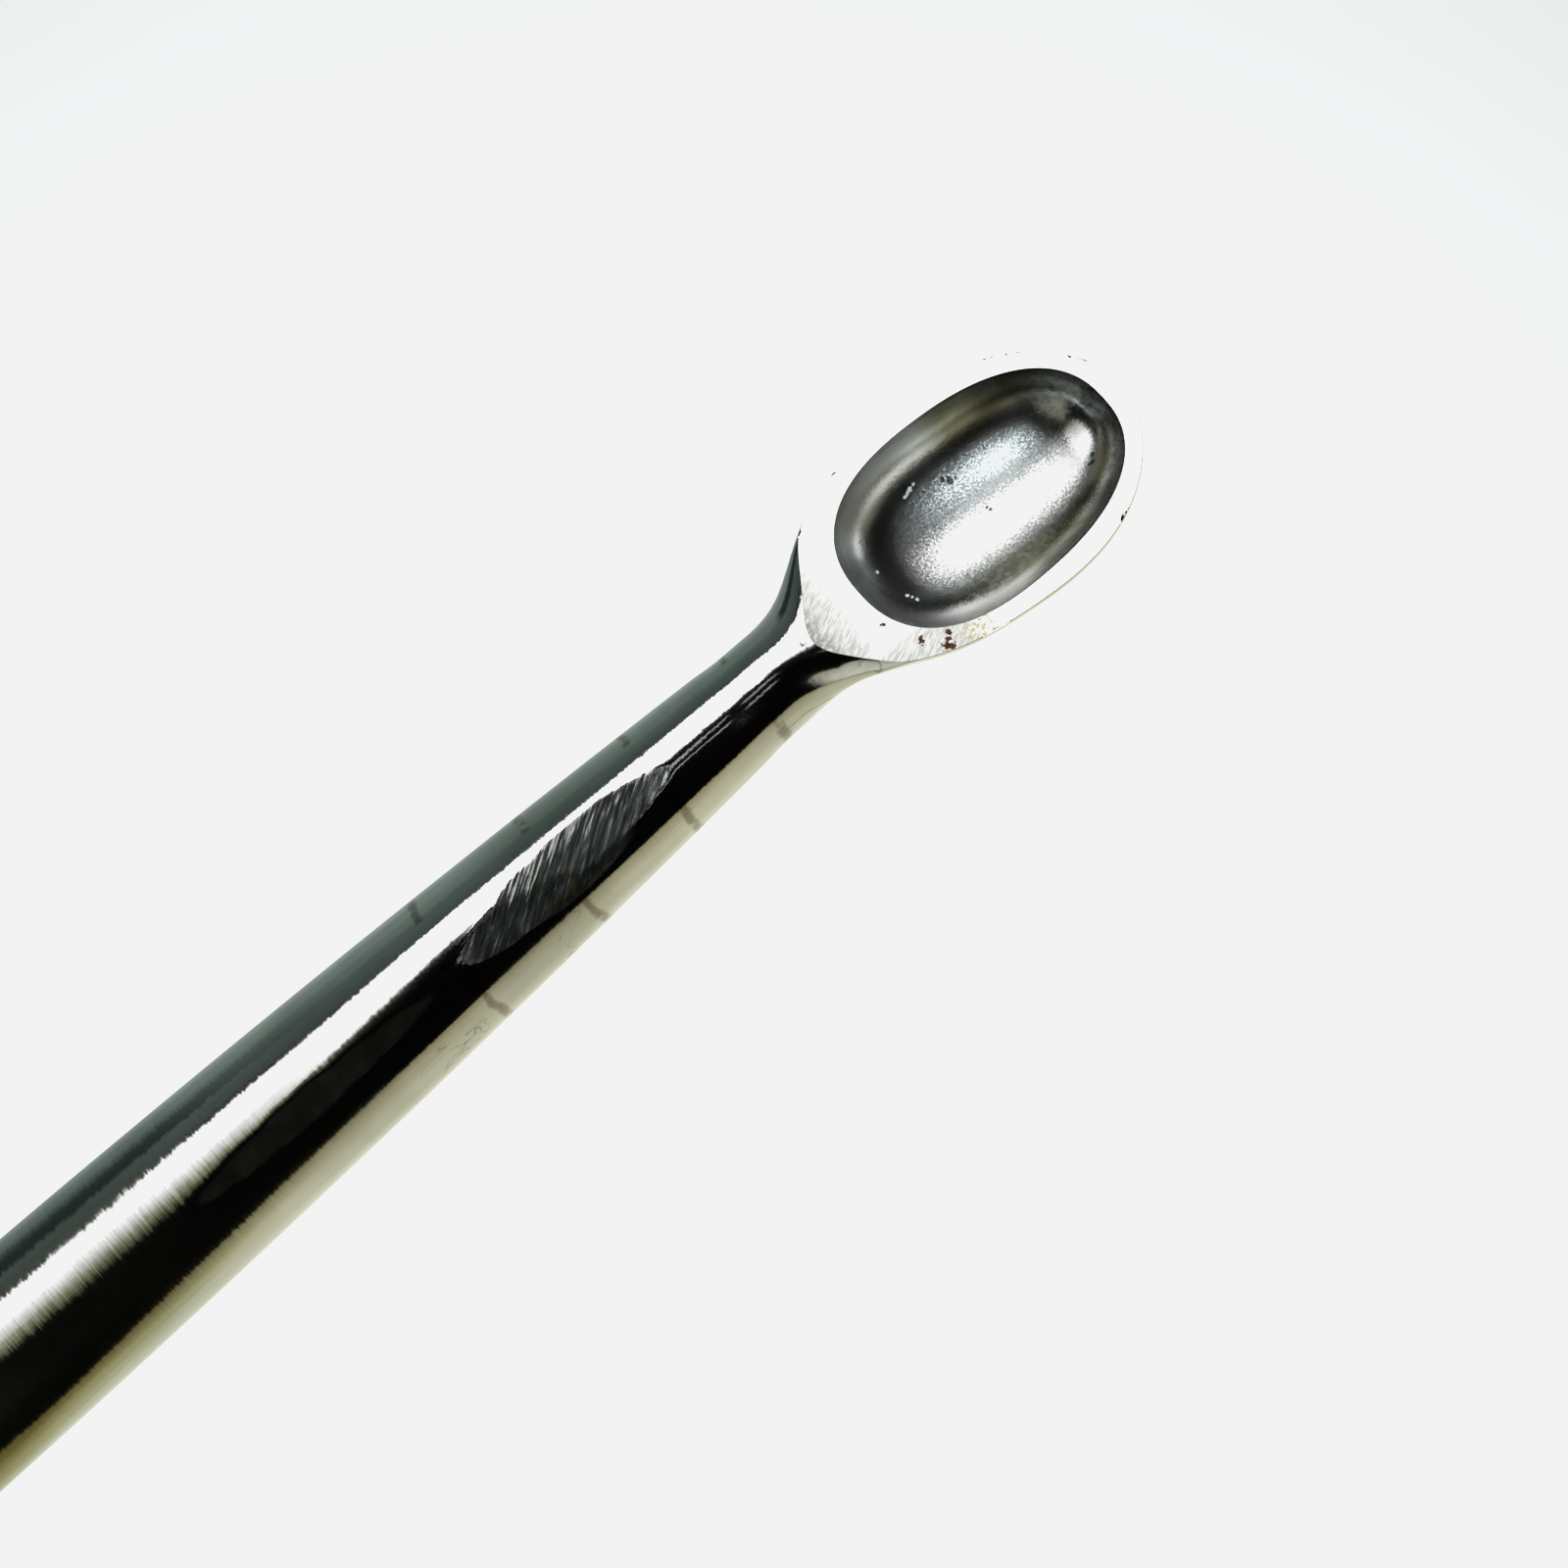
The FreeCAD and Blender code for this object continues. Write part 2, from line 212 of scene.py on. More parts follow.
def mark_facets(piece, verts):
    """Stores where the flats lie, for the steel's finish."""
    station, y, z = verts[:, 0] - CUP_X, verts[:, 1], verts[:, 2] - AXIS_Z
    angle = np.arctan2(-y, z)
    radius = taper_radius(station)
    for name in ("rough", "smooth"):
        share = np.zeros(len(verts))
        for facet in FACETS:
            if facet[0] == name:
                gap = radius - facet_radius(station, angle, radius, facet)
                share = np.maximum(share, np.clip(gap / 0.03, 0, 1))
        share *= (station > SHOULDER) * (station < NECK)
        piece.data.attributes.new(name, "FLOAT", "POINT").data.foreach_set("value", share)


def mark_wall(piece, verts):
    """Stores how far each point is from the middle of the cup (0) towards its edge (1)."""
    station, y = verts[:, 0] - CUP_X - OPENING_MIDDLE, verts[:, 1]
    reach = opening_reach(np.arctan2(y, station))
    share = np.clip(np.hypot(station, y) / reach, 0, 1)
    piece.data.attributes.new("wall", "FLOAT", "POINT").data.foreach_set("value", share)


# ---------------------------------------------------------------- the forging
def section(station, rim_offset):
    """Points (y, z) from one rim edge down round the belly to the other; closed if the rim is not reached."""
    wide, centre = float(half_width(station)), float(centre_height(station))
    above = float(ridge_height(station)) - centre
    below = centre - float(belly_height(station))
    cut = (float(rim_height(station)) - rim_offset - centre) / max(above, 1e-6)
    start = math.asin(min(max(cut, -0.99), 1.0)) if station > APEX - 1 else math.pi / 2
    turn = np.linspace(-start, math.pi + start, ROUND_POINTS + 1)
    y = -wide * np.cos(turn)
    z = centre - np.where(np.sin(turn) < 0, above, below) * np.sin(turn)
    upper = np.sqrt(np.clip((z - centre) / above, 0, 1)) * (1 - 0.7 * np.clip(y / wide, 0, 1))
    return y - CREST_LEAN * float(crest_share(station)) * upper, z


CREST_LEAN = 0.42            # how far the ridge of the neck is ground off its middle line at the rim


def crest_share(station):
    return smooth_step(station, -12.0, APEX) * (1 - smooth_step(station, -8.4, -6.0))


def find_apex(rim_offset):
    """Station where the cut plane leaves the ridge of the neck."""
    low, high = APEX - 2.0, APEX + 2.0
    for _ in range(50):
        middle = (low + high) / 2
        if ridge_height(middle) < rim_height(middle) - rim_offset:
            low = middle
        else:
            high = middle
    return high


def shank_stations(apex):
    """Closed rings from the tang's end to the rim's apex, as (station, fixed radius or None)."""
    groove_floor = SHANK_R - GROOVE
    rings = [(TANG_END, TANG_R - 0.6), (TANG_END + 0.6, TANG_R)]
    rings += [(s, TANG_R) for s in np.linspace(TANG_END + 5, SHOULDER - 5, 9)]
    rings += [(SHOULDER, TANG_R), (SHOULDER, groove_floor), (SHOULDER + GROOVE * 0.23, SHANK_R)]
    rings += [(s, None) for s in np.arange(SHOULDER + 0.5, -46, 0.5)]
    rings += [(s, None) for s in np.arange(-46, -14, 0.25)]
    rings += [(s, None) for s in np.linspace(-14, apex - 0.06, 40)]
    return rings


def head_stations(apex):
    near = apex + np.array([0.004, 0.015, 0.035, 0.065, 0.105, 0.155, 0.215, 0.285])
    body = np.arange(apex + 0.37, 6.4, 0.095)
    round_end = TIP - (TIP - body[-1]) * np.cos(np.linspace(0, math.pi / 2, 22)[1:-1])
    return np.concatenate([near, body, round_end])


def forging():
    """Verts (mm), quads/tris and face kinds of the cup, neck, shank and tang in one closed mesh."""
    verts, faces, kinds = [], [], []

    def add_ring(station, y, z):
        first = len(verts)
        verts.extend((CUP_X + station, py, AXIS_Z + pz) for py, pz in zip(y, z))
        return list(range(first, first + len(y)))

    def skin_between(a, b, kind="skin"):
        for i in range(len(a) - 1):
            quad = [a[i], a[i + 1], b[i + 1], b[i]]
            quad = [v for n, v in enumerate(quad) if v not in quad[:n]]
            if len(quad) > 2:
                faces.append(quad)
                kinds.append(kind)

    apex = find_apex(EDGE_BREAK)
    previous = None
    for station, fixed in shank_stations(apex):
        turn = np.linspace(-math.pi / 2, 1.5 * math.pi, ROUND_POINTS + 1)[:-1]
        if fixed is not None:
            y, z = -fixed * np.cos(turn), -fixed * np.sin(turn)
        elif station < NECK:
            angle = np.arctan2(np.cos(turn), -np.sin(turn))
            angle = np.arctan2(np.sin(angle), np.cos(angle))
            r = ground_radius(station, angle, float(half_width(station)))
            y, z = -r * np.sin(angle), r * np.cos(angle)
        else:
            y, z = (v[:-1] for v in section(station, EDGE_BREAK))
        ring = add_ring(station, y, z)
        ring.append(ring[0])
        if previous is None:
            faces.append(ring[:-1])
            kinds.append("skin")
        else:
            skin_between(previous, ring)
        previous = ring

    y, z = section(apex, EDGE_BREAK)
    ring = add_ring(apex, y[:-1], z[:-1])
    ring.append(ring[0])
    skin_between(previous, ring)
    previous, right_edge, left_edge = ring, [ring[0]], []
    for station in head_stations(apex):
        ring = add_ring(station, *section(station, EDGE_BREAK))
        skin_between(previous, ring)
        right_edge.append(ring[0])
        left_edge.append(ring[-1])
        previous = ring
    tip = add_ring(TIP, [0.0], [float(rim_height(TIP)) - RIM_DROP])[0]
    for i in range(ROUND_POINTS):
        faces.append([previous[i], previous[i + 1], tip])
        kinds.append("skin")
    edge_loop = right_edge + [tip] + left_edge[::-1]
    add_land_and_cup(verts, faces, kinds, edge_loop)
    return np.array(verts), faces, kinds


def opening_reach(angle):
    """Distance from the opening's middle to its edge in each direction."""
    low, high = np.zeros_like(angle), np.full_like(angle, 8.0)
    for _ in range(40):
        middle = (low + high) / 2
        outside = np.abs(middle * np.sin(angle)) >= egg(OPENING_MIDDLE + middle * np.cos(angle), **OPENING)
        low, high = np.where(outside, low, middle), np.where(outside, middle, high)
    return low


def cavity_height(station, y):
    wide = egg(station, **OPENING)
    return rim_height(station) - CAVITY_DEPTH * np.sqrt(np.maximum(wide ** 2 - y ** 2, 0))


# Small dents in the rim's outer edge: direction from the opening's middle and size in degrees, depth
NICKS = [(130.7, 0.9, 0.10), (47.3, 1.5, 0.10), (38.8, 2.3, 0.09), (18.1, 1.3, 0.10), (12.2, 1.4, 0.10),
         (-49.7, 2.3, 0.12), (-124.5, 5.0, 0.05), (152.1, 0.8, 0.08)]
LAND_ROWS = (0.0, 0.12, 0.35, 0.65, 0.88, 1.0)
CUP_ROWS = 46


def add_land_and_cup(verts, faces, kinds, edge_loop):
    """The flat rim inside the edge loop, its broken edges, and the hollow of the cup."""
    edge = np.array([verts[i] for i in edge_loop])
    turn = np.arctan2(edge[:, 1], edge[:, 0] - CUP_X - OPENING_MIDDLE)
    for place, size, depth in NICKS:
        push = depth * np.exp(-((np.degrees(turn) - place) / size) ** 2)
        edge -= push[:, None] * np.stack([np.cos(turn), np.sin(turn), np.ones(len(turn))], 1)
    for i, point in zip(edge_loop, edge):
        verts[i] = tuple(point)
    station, y = edge[:, 0] - CUP_X, edge[:, 1]
    angle = np.arctan2(y, station - OPENING_MIDDLE)
    outer = np.hypot(y, station - OPENING_MIDDLE) - EDGE_BREAK
    inner = opening_reach(angle) + EDGE_BREAK * 0.6
    rows = [(outer + (inner - outer) * share, None) for share in LAND_ROWS]
    for step in range(CUP_ROWS):
        fall = (step + 0.35) / CUP_ROWS * math.pi / 2
        rows.append((opening_reach(angle) * math.cos(fall), "cup"))
    previous = edge_loop
    for number, (reach, kind) in enumerate(rows):
        s = OPENING_MIDDLE + reach * np.cos(angle)
        across = reach * np.sin(angle)
        z = cavity_height(s, across) if kind else rim_height(s)
        first = len(verts)
        verts.extend((CUP_X + a, b, AXIS_Z + c) for a, b, c in zip(s, across, z))
        ring = list(range(first, first + len(s)))
        part = "cup" if kind else "land" if number else "skin"
        for i in range(len(ring)):
            j = (i + 1) % len(ring)
            faces.append([previous[i], ring[i], ring[j], previous[j]])
            kinds.append(part)
        previous = ring
    middle = len(verts)
    bottom = float(cavity_height(np.array(OPENING_MIDDLE), np.array(0.0)))
    verts.append((CUP_X + OPENING_MIDDLE, 0, AXIS_Z + bottom))
    for i in range(len(previous)):
        faces.append([previous[i], middle, previous[(i + 1) % len(previous)]])
        kinds.append("cup")


# ---------------------------------------------------------------- mesh helper
def build_mesh(name, verts_mm, faces, materials, kinds=None):
    mesh = bpy.data.meshes.new(name)
    mesh.from_pydata([tuple(v) for v in np.asarray(verts_mm) * MM], [], faces)
    mesh.validate()
    for material in materials.values():
        mesh.materials.append(material)
    if kinds:
        order = {kind: i for i, kind in enumerate(materials)}
        mesh.polygons.foreach_set("material_index", [order[k] for k in kinds])
    mesh.polygons.foreach_set("use_smooth", [True] * len(mesh.polygons))
    mesh.set_sharp_from_angle(angle=math.radians(30))
    piece = bpy.data.objects.new(name, mesh)
    bpy.context.scene.collection.objects.link(piece)
    return piece


# ---------------------------------------------------------------- materials
class Metal:
    """Short hand for building one metal's nodes."""

    def __init__(self, name, color, roughness):
        self.material = bpy.data.materials.new(name)
        self.material.use_nodes = True
        self.nodes, self.links = self.material.node_tree.nodes, self.material.node_tree.links
        self.shader = self.nodes["Principled BSDF"]
        self.shader.inputs["Metallic"].default_value = 1.0
        self.shader.inputs["Base Color"].default_value = (*color, 1)
        self.shader.inputs["Roughness"].default_value = roughness
        self.place = self.add("ShaderNodeTexCoord").outputs["Object"]

    def add(self, kind, **settings):
        node = self.nodes.new(kind)
        for key, value in settings.items():
            setattr(node, key, value)
        return node

    def plug(self, node, *values):
        for socket, value in zip([s for s in node.inputs if s.enabled], values):
            if isinstance(value, bpy.types.NodeSocket):
                self.links.new(value, socket)
            else:
                socket.default_value = value
        return next(s for s in node.outputs if s.enabled)

    def noise(self, scale, stretch=(1, 1, 1), turn=0.0, detail=4.0, rough=0.55, warp=0.0):
        """Noise with a period of 1/scale metres, divided by stretch along each axis after a turn about Z."""
        spun = self.plug(self.add("ShaderNodeMapping", vector_type="TEXTURE"), self.place,
                         (0, 0, 0), (0, 0, math.radians(turn)))
        sized = self.plug(self.add("ShaderNodeMapping", vector_type="POINT"), spun,
                          (0, 0, 0), (0, 0, 0), stretch)
        tex = self.add("ShaderNodeTexNoise")
        self.links.new(sized, tex.inputs["Vector"])
        for key, value in (("Scale", scale), ("Detail", detail), ("Roughness", rough), ("Distortion", warp)):
            tex.inputs[key].default_value = value
        return tex.outputs["Fac"]

    def ramp(self, source, low, high, out_low=0.0, out_high=1.0):
        return self.plug(self.add("ShaderNodeMapRange", interpolation_type="SMOOTHSTEP"),
                         source, low, high, out_low, out_high)

    def math(self, operation, a, b=0.0):
        return self.plug(self.add("ShaderNodeMath", operation=operation), a, b)

    def mix(self, share, a, b):
        node = self.add("ShaderNodeMix", data_type="RGBA")
        a, b = (((*v, 1) if isinstance(v, tuple) else v) for v in (a, b))
        return self.plug(node, share, a, b)

    def station(self):
        """Millimetres from the cup's middle, towards the tip."""
        split = self.add("ShaderNodeSeparateXYZ")
        self.links.new(self.place, split.inputs[0])
        return self.math("SUBTRACT", self.math("MULTIPLY", split.outputs["X"], 1 / MM), CUP_X)

    def from_axis(self, axis, offset=0.0):
        """Millimetres from the middle plane, or above the offset."""
        split = self.add("ShaderNodeSeparateXYZ")
        self.links.new(self.place, split.inputs[0])
        return self.math("SUBTRACT", self.math("MULTIPLY", split.outputs[axis], 1 / MM), offset)

    def both(self, a, b):
        return self.math("MULTIPLY", a, b)

    def attribute(self, name):
        return self.add("ShaderNodeAttribute", attribute_name=name).outputs["Fac"]

    def stain_rings(self, station, across):
        """Dark broken lines round the shank, on its flanks."""
        wander = self.math("MULTIPLY", self.math("SUBTRACT", self.noise(700, detail=3), 0.5), 0.9)
        nearest = None
        for ring in STAIN_RINGS:
            gap = self.math("ABSOLUTE", self.math("ADD", self.math("SUBTRACT", station, ring), wander))
            nearest = gap if nearest is None else self.math("MINIMUM", nearest, gap)
        flank = self.ramp(self.math("ABSOLUTE", self.math("SUBTRACT", across, 0.25)), 1.3, 1.5)
        patchy = self.ramp(self.noise(1400, detail=3), 0.28, 0.5)
        return self.both(self.both(self.ramp(nearest, 0.30, 0.08), patchy), flank)

    def skin_stains(self, station, across, height):
        """Rings, wandering veins on the lower flank and one long hairline."""
        drift = self.math("SUBTRACT", self.noise(420, (0.4, 1, 1), -20, detail=3, warp=1.0), 0.5)
        lower = self.both(self.ramp(across, -1.2, -1.7), self.ramp(station, -36, -30))
        veins = self.both(self.ramp(self.math("ABSOLUTE", drift), 0.014, 0.004), lower)
        veins = self.both(veins, self.ramp(self.noise(230), 0.46, 0.6))
        line = self.math("ADD", self.math("SUBTRACT", height, 0.72), self.math("MULTIPLY", drift, 1.2))
        hairline = self.both(self.ramp(self.math("ABSOLUTE", line), 0.05, 0.02), self.ramp(across, -1.4, -1.8))
        hairline = self.both(hairline, self.both(self.ramp(station, -13.2, -12.4), self.ramp(station, -8.4, -9)))
        return self.math("MAXIMUM", self.stain_rings(station, across), self.math("MAXIMUM", veins, hairline))

    def grain(self, scale, amount, share):
        """Normal shaken at random from grain to grain."""
        tex = self.add("ShaderNodeTexNoise")
        self.links.new(self.place, tex.inputs["Vector"])
        tex.inputs["Scale"].default_value = scale
        tex.inputs["Detail"].default_value = 3.0
        normal = self.add("ShaderNodeNewGeometry").outputs["Normal"]
        centred = self.plug(self.add("ShaderNodeVectorMath", operation="SUBTRACT"), tex.outputs["Color"],
                            (0.5, 0.5, 0.5))
        size = self.both(share, amount)
        sized = self.plug(self.add("ShaderNodeVectorMath", operation="SCALE"), centred, size)
        return self.plug(self.add("ShaderNodeVectorMath", operation="NORMALIZE"),
                         self.plug(self.add("ShaderNodeVectorMath", operation="ADD"), normal, sized))

    def scatter(self, lines, amount, turn, after):
        """Normal tipped across lines that run at an angle to the shank."""
        tip = self.math("MULTIPLY", self.math("SUBTRACT", lines, 0.5), amount)
        along, aside = -math.sin(math.radians(turn)), math.cos(math.radians(turn))
        side = self.plug(self.add("ShaderNodeCombineXYZ"), self.math("MULTIPLY", tip, along),
                         self.math("MULTIPLY", tip, aside), 0.0)
        return self.plug(self.add("ShaderNodeVectorMath", operation="NORMALIZE"),
                         self.plug(self.add("ShaderNodeVectorMath", operation="ADD"), after, side))

    def set(self, socket, value):
        self.links.new(value, self.shader.inputs[socket])

    def bump(self, height, depth, after=None):
        """Relief of the given depth in metres."""
        node = self.add("ShaderNodeBump")
        node.inputs["Distance"].default_value = depth
        self.links.new(height, node.inputs["Height"])
        if after is not None:
            self.links.new(after, node.inputs["Normal"])
        return node.outputs["Normal"]

    def lean(self, amount, after):
        """Tips the surface about the shank's axis by an amount between about -0.1 and 0.1."""
        side = self.plug(self.add("ShaderNodeCombineXYZ"), 0.0, amount, 0.0)
        return self.plug(self.add("ShaderNodeVectorMath", operation="NORMALIZE"),
                         self.plug(self.add("ShaderNodeVectorMath", operation="ADD"), after, side))

    def near(self, places, ragged):
        """1 inside each of the round spots (station, y, z from the axis, radius), with ragged edges."""
        inside = None
        for station, y, z, radius in places:
            centre = ((CUP_X + station) * MM, y * MM, (AXIS_Z + z) * MM)
            gap = self.plug(self.add("ShaderNodeVectorMath", operation="DISTANCE"), self.place, centre)
            spot = self.math("DIVIDE", gap, radius * MM)
            inside = spot if inside is None else self.math("MINIMUM", inside, spot)
        return self.ramp(self.math("ADD", inside, ragged), 1.15, 0.85)


STEEL = (0.66, 0.67, 0.66)
DULL_STEEL = (0.50, 0.51, 0.49)


STAIN_RINGS = (-12.8, -18.2, -23.7, -29.5)
SOOT = [(-9.85, -0.25, 2.2, 0.22)]


def polished_steel():
    t = Metal("ground_steel", STEEL, 0.12)
    station, across, height = t.station(), t.from_axis("Y"), t.from_axis("Z", AXIS_Z)
    cloud = t.noise(160, detail=6)
    handled = t.ramp(station, -30, -47)
    rough_facet, smooth_facet = t.attribute("rough"), t.attribute("smooth")
    cross_grain = t.noise(8500, (1, 0.05, 0.05), detail=2)
    mottle = t.noise(5000, detail=2)
    along = t.noise(900, (0.08, 2.2, 2.2), detail=3)
    scratches = t.noise(7000, (0.06, 1, 1), 32, detail=4, rough=0.7)
    patches = t.noise(700, (0.5, 1, 1), 32, detail=3)
    blotch = t.noise(900, detail=3)

    color = t.mix(t.ramp(cloud, 0.35, 0.7), STEEL, DULL_STEEL)
    color = t.mix(t.ramp(along, 0.4, 0.7, 0.0, 0.5), color, DULL_STEEL)
    # Real marks and painted shade: the rough flats are darkened by their scratches and patches, and darker still
    # towards -Y as painted shade.
    scored_and_shade = t.math("ADD", t.ramp(scratches, 0.66, 0.50), t.ramp(patches, 0.3, 0.7, -0.3, 0.3))
    scored_and_shade = t.math("ADD", scored_and_shade, t.ramp(across, 0.3, -1.2, -0.2, 0.9))
    color = t.mix(t.both(rough_facet, t.ramp(scored_and_shade, 0.0, 1.0, 0.62, 0.96)), color, (0.03, 0.035, 0.03))
    color = t.mix(t.both(smooth_facet, 0.86), color, (0.05, 0.065, 0.04))
    color = t.mix(t.both(t.skin_stains(station, across, height), 0.6), color, (0.12, 0.09, 0.045))
    soot = t.near(SOOT, t.ramp(t.noise(2600, detail=4), 0.3, 0.7, -0.5, 0.5))
    color = t.mix(t.both(soot, 0.9), color, (0.02, 0.022, 0.02))
    t.set("Base Color", color)
    rough = t.math("ADD", t.ramp(handled, 0, 1, 0.07, 0.11), t.ramp(cloud, 0.3, 0.8, 0.0, 0.04))
    rough = t.math("MAXIMUM", rough, t.both(rough_facet, t.ramp(patches, 0.3, 0.7, 0.3, 0.45)))
    rough = t.math("MAXIMUM", rough, t.both(smooth_facet, t.ramp(blotch, 0.3, 0.7, 0.24, 0.28)))
    t.set("Roughness", rough)
    tip = t.both(t.math("SUBTRACT", cross_grain, 0.5), t.ramp(handled, 0, 1, 0.05, 0.15))
    speck = t.both(t.math("SUBTRACT", mottle, 0.5), 0.05)
    cut = t.both(t.both(t.math("SUBTRACT", scratches, 0.5), 1.5), rough_facet)
    t.set("Normal", t.lean(t.math("ADD", t.math("ADD", tip, speck), cut), t.bump(along, 0.000004)))
    return t.material


RUST = [(-6.75, -1.75, 1.9, 0.11), (-6.0, -3.26, 1.75, 0.14), (-5.3, -4.2, 1.61, 0.24),
        (-4.9, -3.76, 1.54, 0.13), (-5.12, -3.98, 1.58, 0.12)]


def land_steel():
    t = Metal("rim_land_steel", STEEL, 0.3)
    station, across = t.station(), t.from_axis("Y")
    lines = t.noise(12000, (0.025, 1, 1), 26, detail=3, rough=0.6)
    broad = t.noise(2600, (0.05, 1, 1), 26, detail=3)
    fleck = t.noise(5000, detail=3)
    dragged = t.math("MAXIMUM", t.ramp(station, -5.4, -8.6),
                     t.both(t.ramp(station, -2.4, -4.4), t.ramp(across, -2.0, -3.0)))
    smudge = t.both(t.ramp(station, -8.4, -9.3), t.ramp(fleck, 0.32, 0.6))
    strokes = t.math("ADD", t.ramp(lines, 0.40, 0.60, 0.70, 0.87), t.ramp(broad, 0.42, 0.62, 0.0, 0.04))
    color = t.mix(t.both(dragged, strokes), STEEL, (0.16, 0.16, 0.148))
    color = t.mix(t.both(smudge, 0.8), color, (0.08, 0.09, 0.08))
    yellowed = t.both(t.both(t.ramp(station, -4.9, -4.2), t.ramp(station, -2.2, -3.2)),
                      t.both(t.ramp(across, -3.6, -4.1), t.ramp(fleck, 0.5, 0.62)))
    color = t.mix(yellowed, color, (0.22, 0.19, 0.10))
    spots = t.near(RUST, t.ramp(fleck, 0.3, 0.7, -0.8, 0.8))
    rust = t.mix(t.ramp(fleck, 0.4, 0.6), (0.13, 0.06, 0.025), (0.04, 0.022, 0.014))
    t.set("Base Color", t.mix(spots, color, rust))
    t.set("Roughness", t.math("MAXIMUM", t.ramp(lines, 0.3, 0.8, 0.2, 0.3), t.both(spots, 0.7)))
    t.set("Normal", t.scatter(lines, 0.12, 26, t.bump(broad, 0.00001)))
    return t.material


CUP_STEEL = (0.52, 0.53, 0.52)
CUP_SPECKS = [(-0.29, 2.18, -2.57, 0.16), (-0.52, 2.3, -2.5, 0.12), (0.0, 2.05, -2.65, 0.09),
              (3.88, 2.33, -2.63, 0.08), (0.19, 0.5, -3.11, 0.07), (0.19, 0.3, -3.12, 0.07),
              (0.19, 0.12, -3.13, 0.06), (4.77, -1.35, -2.91, 0.12), (5.0, -1.1, -2.9, 0.08)]
# Painted highlights: near-white spots in the cup (station, y, z from the axis, radius).
CUP_GLEAMS = [(-2.26, 2.71, -1.80, 0.09), (-2.06, 2.76, -1.83, 0.10), (-1.85, 2.81, -1.85, 0.10),
              (-1.64, 2.86, -1.88, 0.08), (-5.03, -0.77, -1.16, 0.08), (-4.83, -1.17, -1.22, 0.09),
              (-5.34, 0.81, -0.89, 0.07), (-4.9, -0.95, -1.2, 0.06)]


def cup_steel():
    t = Metal("cup_inside_steel", CUP_STEEL, 0.24)
    station, across, wall = t.station(), t.from_axis("Y"), t.attribute("wall")
    cloud = t.noise(260, detail=5)
    fleck = t.noise(3000, detail=4)
    streak = t.noise(1800, (0.25, 1, 1), -12, detail=3)
    color = t.mix(t.ramp(cloud, 0.4, 0.8), CUP_STEEL, (0.40, 0.41, 0.39))
    # Partly polish, partly painted sheen: the wall's outer ring is brightened to near-white.
    polish_and_sheen = t.both(t.ramp(wall, 0.70, 0.84), t.ramp(station, 4.5, 2.0))
    polish_and_sheen = t.both(polish_and_sheen, t.ramp(across, 1.4, 2.8, 1.0, 0.5))
    color = t.mix(t.both(polish_and_sheen, t.ramp(streak, 0.3, 0.7, 1.0, 0.7)), color, (0.95, 0.96, 0.96))
    film = t.both(t.both(t.ramp(station, -1.2, 0.8), t.ramp(across, -2.3, -3.0)), t.ramp(wall, 0.55, 0.72))
    color = t.mix(t.both(film, t.ramp(streak, 0.3, 0.6, 0.95, 0.75)), color, (0.14, 0.14, 0.10))
    brown = t.both(t.both(t.ramp(station, -1.0, 1.2), t.ramp(across, 2.2, 3.2)), t.ramp(cloud, 0.3, 0.6, 0.5, 0.9))
    color = t.mix(brown, color, (0.20, 0.18, 0.095))
    tarnish = t.both(t.both(t.ramp(station, -6.4, -3), t.ramp(across, -1.7, -2.4)), t.ramp(wall, 0.78, 0.7))
    color = t.mix(t.both(tarnish, t.ramp(fleck, 0.35, 0.6, 0.35, 0.8)), color, (0.16, 0.16, 0.11))
    shade = t.both(t.both(t.ramp(station, 3.0, 4.6), t.ramp(wall, 0.80, 0.9)), t.ramp(fleck, 0.3, 0.6, 0.9, 0.5))
    color = t.mix(shade, color, (0.07, 0.08, 0.07))
    # Painted shade: a dim patch on the wall near the tip, towards +Y.
    painted_dim_patch = t.both(t.ramp(station, 3.7, 4.3), t.ramp(across, 0.5, 0.9))
    color = t.mix(t.both(painted_dim_patch, t.ramp(fleck, 0.3, 0.6, 0.85, 0.6)), color, (0.09, 0.10, 0.09))
    specks = t.near(CUP_SPECKS, t.ramp(t.noise(4000, detail=4), 0.3, 0.7, -0.9, 0.9))
    color = t.mix(t.both(specks, 0.9), color, (0.03, 0.03, 0.025))
    # Painted highlights: near-white spots with raised roughness.
    gleams = t.near(CUP_GLEAMS, t.ramp(t.noise(6000, detail=3), 0.3, 0.7, -0.6, 0.6))
    color = t.mix(gleams, color, (0.95, 0.96, 0.95))
    t.set("Base Color", color)
    satin = t.ramp(wall, 0.52, 0.80)
    rough = t.math("ADD", t.ramp(satin, 0, 1, 0.30, 0.17), t.ramp(cloud, 0.3, 0.75, 0.0, 0.06))
    t.set("Roughness", t.math("MAXIMUM", rough, t.both(gleams, 0.8)))
    shake = t.ramp(satin, 0, 1, 1.0, 0.35)
    t.set("Normal", t.grain(11000, 0.42, shake))
    return t.material


def satin_steel():
    t = Metal("handle_satin_steel", STEEL, 0.3)
    lines = t.noise(700, (0.03, 1.8, 1.8), detail=4)
    cloud = t.noise(45, detail=4)
    t.set("Base Color", t.mix(t.ramp(cloud, 0.4, 0.8), STEEL, DULL_STEEL))
    t.set("Roughness", t.math("ADD", t.ramp(lines, 0.3, 0.75, 0.22, 0.36), t.ramp(cloud, 0.4, 0.8, 0, 0.06)))
    t.set("Normal", t.bump(lines, 0.00002))
    return t.material


def turned_steel():
    t = Metal("turned_steel", STEEL, 0.2)
    rings = t.noise(900, (1.8, 0.05, 0.05), detail=3)
    t.set("Roughness", t.ramp(rings, 0.3, 0.75, 0.14, 0.26))
    t.set("Normal", t.bump(rings, 0.000012))
    return t.material


